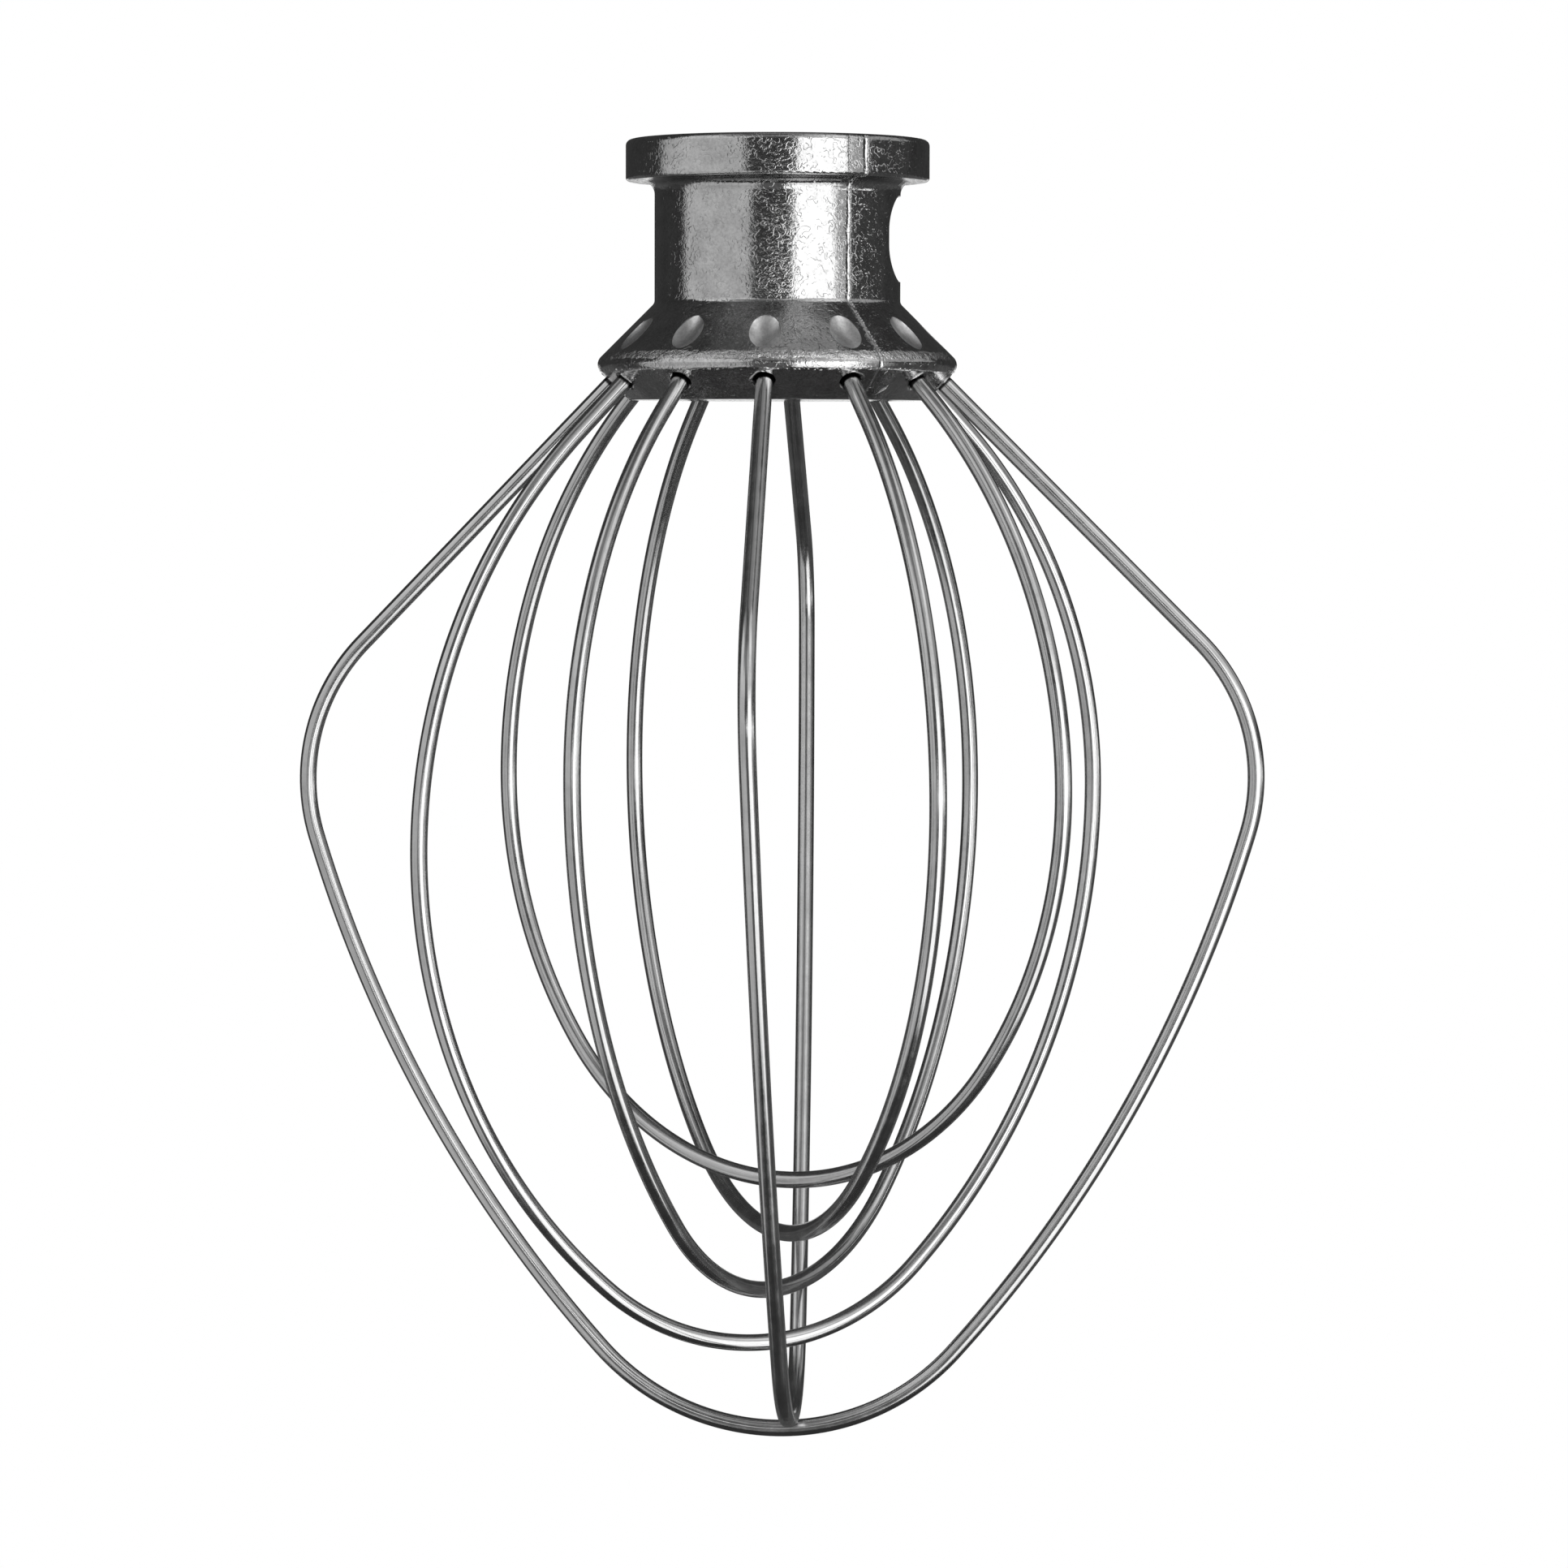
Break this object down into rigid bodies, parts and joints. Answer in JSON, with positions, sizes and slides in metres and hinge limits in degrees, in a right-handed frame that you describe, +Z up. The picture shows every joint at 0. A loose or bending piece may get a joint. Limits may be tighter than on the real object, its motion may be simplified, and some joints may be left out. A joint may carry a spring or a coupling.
{
  "type": "stand mixer wire whisk",
  "caption": "Wire whisk attachment for a stand mixer: bent wire loops form an open cage below a cast hub with a collar, a shaft bore and a side window for the shaft's pin.",
  "frame": {"origin": "centre of the shaft bore's mouth, level with the top of the collar", "axes": "+Z up along the bore, out of its mouth; the widest loop lies in the XZ plane; the loops hang towards -Z"},
  "size_m": [0.1148, 0.094, 0.1541],
  "materials": {
    "cast_hub": "bright cast metal, faintly mottled",
    "wire": "bright drawn stainless wire"
  },
  "bodies": {
    "root": {"hub": "cast_hub", "wire_loop_1": "wire", "wire_loop_2": "wire", "wire_loop_3": "wire", "wire_loop_4": "wire", "wire_loop_5": "wire", "wire_loop_6": "wire"}
  },
  "joints": []
}
